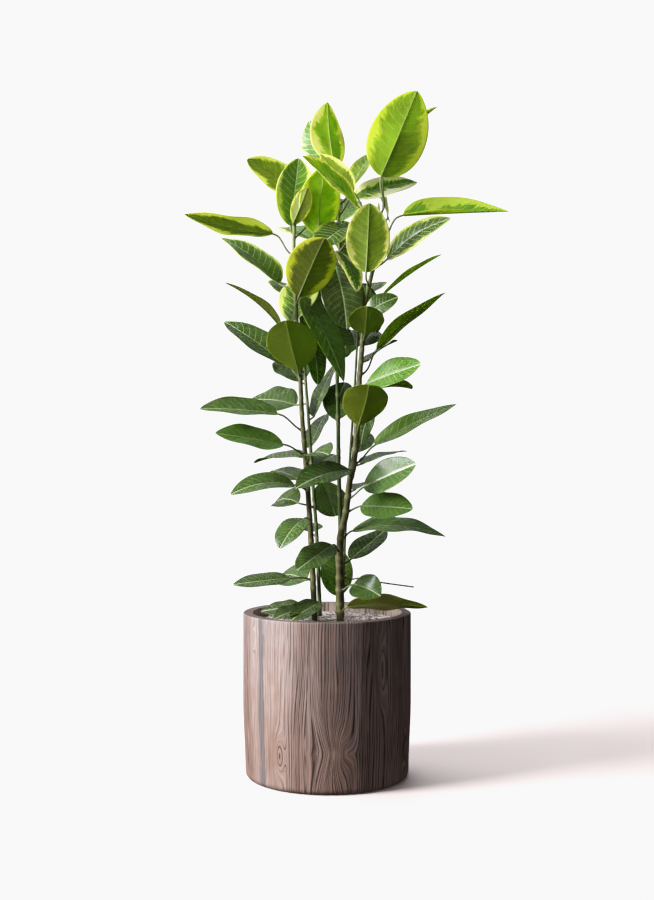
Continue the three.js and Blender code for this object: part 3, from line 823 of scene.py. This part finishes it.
def bud_material():
    """A smooth pale sheath, finely lined along its length."""
    g = material_graph("bud_sheath")
    place = g.parts(g.coordinates())
    lines = g.noise(g.vector(place[0], place[1], g.times(place[2], 0.1)), 500.0, 3.0)
    sheath = g.ramp(lines, (0.3, "#7d8a35"), (0.7, "#a9ad55"))
    return g.finish(Base_Color=sheath, Roughness=0.4, Normal=g.bump(lines, 0.3, 0.3 * MM),
                    Subsurface_Weight=0.3, Subsurface_Scale=1 * MM)


def build_stem(node, material):
    """A round stem with a ring and a swelling at each leaf joint, and small waves along it."""
    centres, radii = read_rod(node)
    count = int((centres[-1].z - centres[0].z) / STEM_STEP)
    line = smooth_line(centres, count)
    seed = len(node)
    chance = random.Random(seed)
    joints = list(scars.get(node, []))
    height = centres[0].z
    while height < centres[-1].z:
        height += chance.uniform(*SCAR_GAPS)
        joints.append(height)
    thick, marks = [], []
    for at, point in enumerate(line):
        radius = mix(radii[0], radii[-1], at / (count - 1))
        scar = max(math.exp(-(((point.z - joint) / SCAR_REACH) ** 2)) for joint in joints)
        wave = noise.noise(Vector((seed, 0, point.z * 40)))
        thick.append(radius * (1 + SCAR_SWELLING * scar + STEM_WAVE * wave))
        marks.append(scar)

    def ridges(at, turn):
        around = Vector((math.cos(turn), math.sin(turn), line[at].z * 30 + seed))
        return 1 + STEM_RIDGE * noise.noise(around * 1.6)

    points, faces = tube(line, thick, STEM_SIDES, ridges)
    piece = new_piece("fine_" + node, points, faces, [material])
    store(piece, "stem_scar", [mark for mark in marks for _ in range(STEM_SIDES)] + [0, 0])
    return piece, line, thick[-1]


def build_bud(name, line, radius, material, seed):
    """The pointed sheath of the next leaf, at the top of a stem."""
    chance = random.Random(seed)
    length = chance.uniform(*BUD_LENGTHS)
    aim = (line[-1] - line[-4]).normalized()
    lean = Vector((chance.uniform(-1, 1), chance.uniform(-1, 1), 0)) * BUD_LEAN
    parts = [at / BUD_RINGS for at in range(BUD_RINGS + 1)]
    centres = [line[-1] - aim * 1 * MM + aim * length * part + lean * part ** 2 for part in parts]
    radii = [radius * 0.95 * (1 - part) ** 0.75 * (1 + 0.5 * part) + 0.15 * MM for part in parts]
    points, faces = tube(centres, radii, 14)
    return new_piece(name, points, faces, [material])


BARK = stem_material("bark", True)
GREEN_BARK = stem_material("green_bark", False)
BUD = bud_material()
for count, node in enumerate(sorted(scars)):
    woody = SLOT_OF[node] == "bark"
    piece, line, end_radius = build_stem(node, BARK if woody else GREEN_BARK)
    ride(piece, SLOT_OF[node], node)
    ride(build_bud(f"bud_{count + 1}", line, end_radius, BUD, BUD_SEED + count), "green_stem")


def twig_material():
    """Dry, dark and rough, with lines along it."""
    g = material_graph("dry_bark")
    place = g.parts(g.coordinates())
    lines = g.noise(g.vector(g.times(place[0], 0.15), place[1], place[2]), 700.0, 4.0)
    dry = g.ramp(lines, (0.3, "#2a201a"), (0.7, "#5d4a3b"))
    return g.finish(Base_Color=dry, Roughness=0.8, Normal=g.bump(lines, 0.7, 0.5 * MM))


TWIG_POINTS = 40


def build_twig():
    """The dry stalk: thin, bent and a little knobbly."""
    centres, radii = read_rod("dry_stalk")
    line = smooth_line(centres, TWIG_POINTS)
    knobs = [1 + 0.25 * noise.noise(Vector((5, 0, at * 0.6))) for at in range(TWIG_POINTS)]
    thick = [mix(radii[0], radii[-1], at / (TWIG_POINTS - 1)) * knob for at, knob in enumerate(knobs)]
    points, faces = tube(line, thick, TUBE_SIDES)
    return new_piece("fine_dry_stalk", points, faces, [twig_material()])


ride(build_twig(), "dry_stalk", "dry_stalk")

# ---- planter ----
WALL = 18 * MM
FOOT_RADIUS = 146 * MM
FOOT_ROUND = 10 * MM
RIM_ROUND = 2.5 * MM
WALL_COLUMNS = 720
WALL_ROWS = 96
GRAIN_DEPTH = 1 * MM
GRAIN_PITCH = 4.6 * MM
GIRTH = 2 * math.pi * POT_RADIUS
KNOTS = [  # turn from the front in degrees, height, pull, reach around, reach up
    (5, 70 * MM, 1.7, 24 * MM, 42 * MM),
    (-118, 190 * MM, 1.0, 26 * MM, 45 * MM),
    (96, 120 * MM, 1.1, 28 * MM, 50 * MM),
    (163, 60 * MM, 1.0, 26 * MM, 50 * MM),
]
KNOT_LEAN = 0.3  # how far the grain on each side of a knot's height leans to the left
KNOT_REACH, KNOT_RISE = 9 * MM, 9 * MM  # of the smooth wood in the middle of a knot
CALM_TURN = math.radians(43)  # the wall has two smooth planks, this far to the left and opposite
STREAKS = [(-49, 8.5 * MM), (134, 7 * MM)]  # turn in degrees and half width of the grey streaks
ARCHES = [  # turn from the front in degrees, height, lift, reach around, reach up
    (-34, 62 * MM, 26 * MM, 11 * MM, 38 * MM),
    (-59, 252 * MM, 15 * MM, 7 * MM, 30 * MM),
    (38, 205 * MM, 22 * MM, 10 * MM, 60 * MM),
    (70, 60 * MM, -20 * MM, 10 * MM, 45 * MM),
    (-150, 90 * MM, 24 * MM, 11 * MM, 50 * MM),
    (130, 215 * MM, -22 * MM, 11 * MM, 50 * MM),
    (-95, 70 * MM, -18 * MM, 9 * MM, 40 * MM),
]


def grain_at(around, height):
    """Where a point of the wall is across the grain: the lines of wood are where this is constant."""
    across = around + 6 * MM * noise.noise(Vector((around * 9, height * 3.5, 3)))
    across += 0.9 * MM * noise.noise(Vector((around * 40, height * 12, 8)))
    for turn, knot_height, pull, reach, rise in KNOTS:
        away = around - math.radians(turn) * POT_RADIUS + KNOT_LEAN * abs(height - knot_height)
        above = (height - knot_height) / rise
        fade = math.exp(-((away / reach) ** 2) - above ** 2 / (0.25 + abs(above)))
        across += pull * away * fade
    for turn, arch_height, lift, reach, rise in ARCHES:
        away = around - math.radians(turn) * POT_RADIUS
        across += lift * math.exp(-((away / reach) ** 2) - ((height - arch_height) / rise) ** 2)
    return across


def calm_at(around, across, height):
    """How smooth the cast wood is at a point: 1 on a smooth plank and in the middle of a knot."""
    plank = 0.85 * smooth(0.72, 0.96, math.cos(2 * (across / POT_RADIUS + CALM_TURN)))
    knots = 0.0
    for turn, knot_height, *_ in KNOTS:
        away = (around - math.radians(turn) * POT_RADIUS) / KNOT_REACH
        above = (height - knot_height) / KNOT_RISE
        knots += math.exp(-(away ** 2) - above ** 2)
    return min(1.0, plank + knots)


def relief_at(across, height):
    """How deep the broad waves of the cast wood are at a point, from 0 on a ridge to 1 in a hollow."""
    broad = noise.noise(Vector((across * 70, height * 2.5, 0)))
    narrow = noise.noise(Vector((across * 190, height * 5, 4)))
    return min(1.0, max(0.0, 0.4 + 0.5 * broad + 0.35 * narrow))


def pot_profile():
    """Radius, height and how much grain shows, from the foot's middle round the wall to the inner floor."""
    rows = [(0.0, 0.0, 0.0), (FOOT_RADIUS - FOOT_ROUND, 0.0, 0.0)]
    for step in range(1, 6):
        turn = math.radians(18 * step)
        round_radius = FOOT_RADIUS - FOOT_ROUND * (1 - math.sin(turn))
        rows.append((round_radius, FOOT_ROUND * (1 - math.cos(turn)), 0.85))
    top = POT_HEIGHT - RIM_ROUND
    for step in range(1, WALL_ROWS + 1):
        part = step / WALL_ROWS
        flare = (POT_RADIUS - FOOT_RADIUS) * smooth(0.0, 0.45, part)
        rows.append((FOOT_RADIUS + flare, mix(FOOT_ROUND, top, part), 1.0))
    for step in range(1, 5):
        turn = math.radians(22.5 * step)
        inward = RIM_ROUND * (1 - math.cos(turn))
        rows.append((POT_RADIUS - inward, top + RIM_ROUND * math.sin(turn), 1.0 - 0.1 * step))
    inner = POT_RADIUS - WALL
    for step in range(1, 5):
        rows.append((mix(POT_RADIUS - RIM_ROUND, inner + RIM_ROUND, step / 4), POT_HEIGHT, 0.5))
    for step in range(1, 5):
        turn = math.radians(22.5 * step)
        rows.append((inner + RIM_ROUND * (1 - math.sin(turn)), top + RIM_ROUND * math.cos(turn), 0.2))
    for step in range(1, 9):
        rows.append((inner, mix(top, WALL, (step / 8) ** 2), 0.12))
    rows.append((0.0, WALL, 0.0))
    return rows


def build_pot(material):
    """The profile turned round the axis, with the wood's broad waves sunk into the wall and the rim."""
    profile = pot_profile()
    columns = WALL_COLUMNS + 1
    points, grain = [], []
    for radius, height, grained in profile:
        on_rim = height >= POT_HEIGHT
        for column in range(columns):
            around = (column / WALL_COLUMNS - 0.5) * GIRTH
            across = grain_at(around, height)
            seam = smooth(0.5, 0.49, abs(column / WALL_COLUMNS - 0.5))
            sunk = GRAIN_DEPTH * relief_at(across, height) * grained * seam
            turn = around / POT_RADIUS - math.pi / 2
            shy = radius if on_rim else max(0.0, radius - sunk)
            drop = sunk if on_rim else 0.0
            points.append((shy * math.cos(turn), shy * math.sin(turn), height - drop))
            grain.append((across, grained, calm_at(around, across, height)))
    faces = []
    for row in range(len(profile) - 1):
        for column in range(WALL_COLUMNS):
            a = row * columns + column
            faces.append((a, a + 1, a + 1 + columns, a + columns))
    piece = new_piece("fine_pot", points, faces, [material])
    store(piece, "grain", grain)
    return piece


# noises drawn out along the grain: cells in a metre across it, cells along it, and a layer of their own
BANDS, LINES, FIBRES = (30, 1.6, 0), (300, 5, 2), (800, 28, 5)
DRIFT, VIGOUR = (32, 3, 4), (7.3, 10, 1)
DRIFT_TURNS = 7  # how many grooves the drift can move the grain by
PLANKS = 30  # seams in a metre round the wall
BLOTS, PORES, WAVER = 16, 700, 11


def wood_noise(g, across, height, kind, detail=2.0, roughness=0.6):
    """Noise drawn out along the grain, of one of the kinds above."""
    fine, tall, layer = kind
    place = g.vector(g.times(across, fine), g.times(height, tall), layer)
    return g.noise(place, 1.0, detail, roughness)


def wood_stain(g, across, height, calm, lines):
    """Brown in upright bands, paler on smooth planks, redder in blots and low down, with grey streaks."""
    bands = wood_noise(g, across, height, BANDS, 2.0, 0.55)
    blots = g.noise(g.coordinates(), BLOTS, 4.0, 0.6)
    wood = g.ramp(bands, (0.3, "#493b39"), (0.47, "#665350"), (0.64, "#8a7571"))
    planked = g.blend(g.times(calm, 0.65), wood, colour("#ab9b98"))
    low = g.step(height, 0.26, 0.02, 0.05, 0.5)
    stained = g.blend(g.plus(low, g.step(blots, 0.45, 0.7, 0.0, 0.35)), planked, colour("#866556"))
    waver = g.noise(g.vector(0.0, 0.0, g.times(height, WAVER)), 1.0, 3.0, 0.6)
    stray = g.plus(g.times(g.less(lines, 0.5), 16 * MM), g.times(g.less(waver, 0.5), 20 * MM))
    for turn, half_width in STREAKS:
        beside = g.math("ABSOLUTE", g.less(across, math.radians(turn) * POT_RADIUS))
        streak = g.step(g.plus(beside, stray), half_width, half_width / 2, 0.0, 0.9)
        stained = g.blend(streak, stained, colour("#575256"))
    return stained


def wood_grooves(g, across, height, calm, lines):
    """How deep the dark grooves are and how strong the painted highlight on the ridges between them is,
    fainter where it is calm.
    """
    drift = wood_noise(g, across, height, DRIFT, 1.0, 0.5)
    turns = g.plus(g.times(across, 1 / GRAIN_PITCH), g.times(drift, DRIFT_TURNS))
    beside = g.math("ABSOLUTE", g.less(g.math("FRACT", turns), 0.5))
    vigour = wood_noise(g, g.math("FLOOR", turns), height, VIGOUR)
    stir = g.less(1.0, g.times(calm, 0.75))
    groove = g.times(g.step(beside, 0.22, 0.08), g.times(g.step(vigour, 0.38, 0.56), stir))
    cut = g.math("MAXIMUM", groove, g.times(g.step(lines, 0.58, 0.66, 0.0, 0.6), stir))
    planks = g.node("TexVoronoi", voronoi_dimensions="1D", feature="DISTANCE_TO_EDGE")
    g.put(planks.inputs["W"], g.plus(g.times(across, PLANKS), 0.3))
    cut = g.math("MAXIMUM", cut, g.step(planks.outputs["Distance"], 0.03, 0.006))
    # the second value marks the ridges between the grooves, for a painted highlight
    return cut, g.times(g.step(beside, 0.34, 0.48), stir)


def pot_material():
    """Cast and stained to look like old wood, darker on the rim and paler inside."""
    g = material_graph("cast_wood")
    across, grained, calm = g.read_parts("grain")
    _, _, height = g.parts(g.coordinates())
    lines = wood_noise(g, across, height, LINES)
    fibres = wood_noise(g, across, height, FIBRES, 3.0)
    pores = g.noise(g.coordinates(), PORES)
    cut, ridge = wood_grooves(g, across, height, calm, lines)
    cut = g.times(cut, g.step(grained, 0.1, 0.9))
    dark = g.blend(g.times(cut, 0.9), wood_stain(g, across, height, calm, lines), colour("#261b18"))
    fibred = g.blend(g.step(fibres, 0.45, 0.7, 0.0, 0.4), dark, colour("#4c3d37"))
    # the ridges between the grooves are lightened: painted highlight
    lit = g.blend(g.times(ridge, 0.22), fibred, colour("#b5a39b"))
    topped = g.blend(g.step(grained, 0.9, 0.6, 0.0, 0.8), lit, colour("#4b3d39"))
    inner = g.ramp(lines, (0.4, "#a8978e"), (0.56, "#8c7b73"), (0.62, "#4b3e39"))
    inside = g.blend(g.step(grained, 0.15, 0.3, 0.85, 0.0), topped, inner)
    relief = g.plus(g.times(cut, -1.0), g.times(fibres, -0.35))
    relief = g.plus(relief, g.times(pores, 0.12))
    return g.finish(Base_Color=inside, Roughness=g.step(fibres, 0.3, 0.7, 0.55, 0.75),
                    Normal=g.bump(relief, 0.8, 1.0 * MM), Specular_IOR_Level=0.4)


ride(build_pot(pot_material()), SLOT_OF["pot"], "pot")

# ---- soil ----
SOIL_RINGS = 44
SOIL_SPOKES = 132
GRIT_COUNT = 3000
GRIT_SHAPES = 5
SKIRT = 60 * MM  # how far the soil's side goes down
GRIT_SIZE, GRIT_SPREAD = 0.6 * MM, 1.1 * MM
DARK_SHARE = 0.28  # narrows the spread of shades, so that the grit is darker in some patches


def soil_height(x, y):
    """The lie of the soil at a place: a low dome with lumps."""
    out = math.hypot(x, y) / SOIL_RADIUS
    lumps = noise.fractal(Vector((x * 28, y * 28, 1)), 1.0, 2.0, 4) * 2.2 * MM
    return SOIL_TOP - 2.5 * MM - 3.5 * MM * out ** 2 + lumps


def soil_material():
    """Crumbs of dry soil, pale in patches."""
    g = material_graph("soil_crust")
    coordinates = g.coordinates()
    crumbs = g.cells(coordinates, 330.0, "F1")
    patches = g.noise(coordinates, 70.0, 4.0, 0.65)
    ground = g.ramp(patches, (0.36, "#3d322e"), (0.48, "#a89896"), (0.6, "#e4d7d4"))
    shaded = g.blend(g.step(crumbs, 0.35, 0.8, 0.0, 0.5), ground, colour("#4a3e3a"))
    return g.finish(Base_Color=shaded, Roughness=0.9, Normal=g.bump(crumbs, 0.8, 1.2 * MM))


def grit_material():
    """Mottled stone, from dark to nearly white."""
    g = material_graph("grit")
    grains = g.noise(g.coordinates(), 900.0, 3.0)
    shades = ((0.0, "#2c2422"), (0.16, "#5d504b"), (0.24, "#cbbdb9"), (0.8, "#eee3e1"))
    stone = g.ramp(g.read("grit_kind"), *shades)
    mottled = g.blend(g.step(grains, 0.35, 0.7, 0.0, 0.3), stone, colour("#8f817a"))
    return g.finish(Base_Color=mottled, Roughness=0.85, Normal=g.bump(grains, 0.6, 0.4 * MM))


def build_soil(material):
    """The crust, and a skirt that goes down inside the wall."""
    turns = [2 * math.pi * spoke / SOIL_SPOKES for spoke in range(SOIL_SPOKES)]
    points, faces = [(0, 0, soil_height(0, 0))], []
    for ring in range(1, SOIL_RINGS + 1):
        reach = SOIL_RADIUS * ring / SOIL_RINGS
        for turn in turns:
            x, y = reach * math.cos(turn), reach * math.sin(turn)
            points.append((x, y, soil_height(x, y)))
    low = len(points)
    bottom = SOIL_TOP - SKIRT
    points += [(SOIL_RADIUS * math.cos(turn), SOIL_RADIUS * math.sin(turn), bottom) for turn in turns]
    points.append((0, 0, bottom))
    for spoke in range(SOIL_SPOKES):
        following = (spoke + 1) % SOIL_SPOKES
        faces.append((0, 1 + spoke, 1 + following))
        for ring in range(SOIL_RINGS):
            inner, outer = 1 + ring * SOIL_SPOKES, 1 + (ring + 1) * SOIL_SPOKES
            faces.append((inner + spoke, outer + spoke, outer + following, inner + following))
        faces.append((low + following, low + spoke, len(points) - 1))
    return new_piece("fine_soil", points, faces, [material])


def grit_shapes():
    """A few lumpy pebbles of unit size, as points and faces."""
    shapes = []
    for kind in range(GRIT_SHAPES):
        body = bmesh.new()
        bmesh.ops.create_icosphere(body, subdivisions=1, radius=1.0)
        chance = random.Random(kind)
        points = [v.co * chance.uniform(0.75, 1.2) for v in body.verts]
        shapes.append((points, [tuple(v.index for v in f.verts) for f in body.faces]))
        body.free()
    return shapes


def build_grit(material):
    """Loose grit over the crust."""
    chance = random.Random(7)
    shapes = grit_shapes()
    points, faces, kinds = [], [], []
    for _ in range(GRIT_COUNT):
        turn = chance.uniform(0, 2 * math.pi)
        reach = (SOIL_RADIUS - 3 * MM) * math.sqrt(chance.random())
        x, y = reach * math.cos(turn), reach * math.sin(turn)
        size = GRIT_SIZE + GRIT_SPREAD * chance.random() ** 2
        squat = chance.uniform(0.55, 0.9)
        place = Vector((x, y, soil_height(x, y) + size * 0.3))
        spin = Matrix.Rotation(chance.uniform(0, 2 * math.pi), 3, "Z")
        form, form_faces = shapes[chance.randrange(GRIT_SHAPES)]
        start = len(points)
        kind = chance.random() * (DARK_SHARE if noise.noise(Vector((x * 60, y * 60, 5))) > 0.1 else 1.0)
        for point in form:
            turned = spin @ Vector((point.x * 1.25, point.y, point.z * squat))
            points.append(place + turned * size)
            kinds.append(kind)
        faces += [tuple(start + i for i in face) for face in form_faces]
    piece = new_piece("soil_grit", points, faces, [material])
    store(piece, "grit_kind", kinds)
    return piece


ride(build_soil(soil_material()), SLOT_OF["soil"], "soil")
ride(build_grit(grit_material()), SLOT_OF["soil"])


# ---- camera, light and floor ----
EYE_HEIGHT = 0.58
EYE_DISTANCE = 2.25
LENS, SENSOR = 50.28, 36.0  # focal length and the image's height, in mm
SEEN_WHITE = 1.2  # what the camera sees of the studio's walls; anything over 1 is the paper white
PAPER_WHITE = 0.945  # linear: the white ground stays a little under full white
KNEE = 0.08  # how far under it bright surfaces start to be held back
WORLD_FILL = 0.095
WORLD_GLOSS = 0.09  # how much of that light shows in reflections
WORLD_LOBES = [  # direction, the cosine where the lobe starts, strength
    ((-0.92, -0.33, 0.30), 0.3, 1.0),
    ((-0.35, 0.70, 0.62), 0.65, 4.4),
    ((0.85, -0.45, 0.10), 0.3, 0.2),
]
FLOOR_CLEAR, FLOOR_RADIUS = 0.75, 1.4  # where the floor starts to fade, and where it ends
FLOOR_SIDES = 96
FLOOR_COLOUR = (0.785, 0.685, 0.688, 1)
LAMPS = [  # name, place, what it points at, size, power, tint
    ("window", (-2.2, -0.92, 1.27), (0, 0, 0.35), (0.85, 1.0), 146, (1.0, 0.98, 0.96)),
    ("skylight", (-1.65, -0.5, 2.35), (0, 0, 0.75), (0.8, 0.6), 36, (0.9, 0.96, 1.0)),
]


def add_camera():
    """A level camera in front of the plant."""
    data = bpy.data.cameras.new("camera")
    data.sensor_width = SENSOR
    data.lens = LENS
    camera = bpy.data.objects.new("camera", data)
    camera.location = (0, -EYE_DISTANCE, EYE_HEIGHT)
    camera.rotation_euler = (math.radians(90), 0, 0)
    bpy.context.scene.collection.objects.link(camera)
    bpy.context.scene.camera = camera


def add_area(name, place, aim, size, power, tint):
    """A soft lamp at a place, turned towards what it points at."""
    data = bpy.data.lights.new(name, "AREA")
    data.shape = "RECTANGLE"
    data.size, data.size_y = size
    data.energy = power
    data.color = tint
    light = bpy.data.objects.new(name, data)
    light.location = place
    light.rotation_euler = (Vector(aim) - Vector(place)).to_track_quat("-Z", "Y").to_euler()
    bpy.context.scene.collection.objects.link(light)


def add_world():
    """A pale studio: plain white where it is seen, brighter on the left and behind where it lights."""
    world = bpy.data.worlds.new("studio")
    bpy.context.scene.world = world
    g = Graph(world, "OutputWorld")
    way = g.node("TexCoord").outputs["Generated"]
    total = WORLD_FILL
    for aim, start, strength in WORLD_LOBES:
        toward = g.node("VectorMath", operation="DOT_PRODUCT")
        g.put(toward.inputs[0], way)
        g.put(toward.inputs[1], Vector(aim).normalized())
        total = g.plus(g.step(toward.outputs["Value"], start, 1.0, 0.0, strength), total)
    path = g.node("LightPath")
    dimmed = g.math("MULTIPLY_ADD", path.outputs["Is Glossy Ray"], WORLD_GLOSS - 1, 1.0)
    lit = g.node("Background")
    g.put(lit.inputs["Strength"], g.times(total, dimmed))
    seen = g.node("Background")
    g.put(seen.inputs["Color"], (1, 1, 1, 1))
    g.put(seen.inputs["Strength"], SEEN_WHITE)
    chosen = g.node("MixShader")
    g.put(chosen.inputs[0], path.outputs["Is Camera Ray"])
    g.put(chosen.inputs[1], lit.outputs[0])
    g.put(chosen.inputs[2], seen.outputs[0])
    g.put(g.out.inputs["Surface"], chosen.outputs[0])


def add_floor():
    """A pale disc that takes the shadow, and melts into the white around it."""
    g = material_graph("studio_floor")
    away = g.node("VectorMath", operation="LENGTH")
    g.put(away.inputs[0], g.coordinates())
    speck = g.noise(g.coordinates(), 60.0, 3.0)
    g.finish(Base_Color=FLOOR_COLOUR, Roughness=0.6, Specular_IOR_Level=0.1,
             Normal=g.bump(speck, 0.05, 0.5 * MM))
    paper = g.node("Emission")
    g.put(paper.inputs["Strength"], SEEN_WHITE)
    faded = g.node("MixShader")
    g.put(faded.inputs[0], g.step(away.outputs["Value"], FLOOR_CLEAR, FLOOR_RADIUS))
    g.put(faded.inputs[1], g.out.inputs["Surface"].links[0].from_socket)
    g.put(faded.inputs[2], paper.outputs[0])
    g.put(g.out.inputs["Surface"], faded.outputs[0])
    turns = [2 * math.pi * side / FLOOR_SIDES for side in range(FLOOR_SIDES)]
    rim = [(FLOOR_RADIUS * math.cos(turn), FLOOR_RADIUS * math.sin(turn), 0) for turn in turns]
    points = [(0, 0, 0)] + rim
    faces = [(0, 1 + side, 1 + (side + 1) % FLOOR_SIDES) for side in range(FLOOR_SIDES)]
    floor = new_piece("floor", points, faces, [g.owner])
    floor.visible_diffuse = False
    floor.visible_glossy = False
    floor.visible_transmission = False


def set_view():
    """Shows linear light as it is, with anything bright held at the paper's white."""
    view = bpy.context.scene.view_settings
    view.view_transform = "Standard"
    view.look = "None"
    view.use_curve_mapping = True
    curve = view.curve_mapping.curves[3]
    curve.points[0].location = (0, 0)
    curve.points[1].location = (1, PAPER_WHITE)
    curve.points.new(PAPER_WHITE - KNEE, PAPER_WHITE - KNEE)
    view.curve_mapping.extend = "HORIZONTAL"
    view.curve_mapping.update()


add_camera()
add_world()
for lamp in LAMPS:
    add_area(*lamp)
add_floor()
set_view()
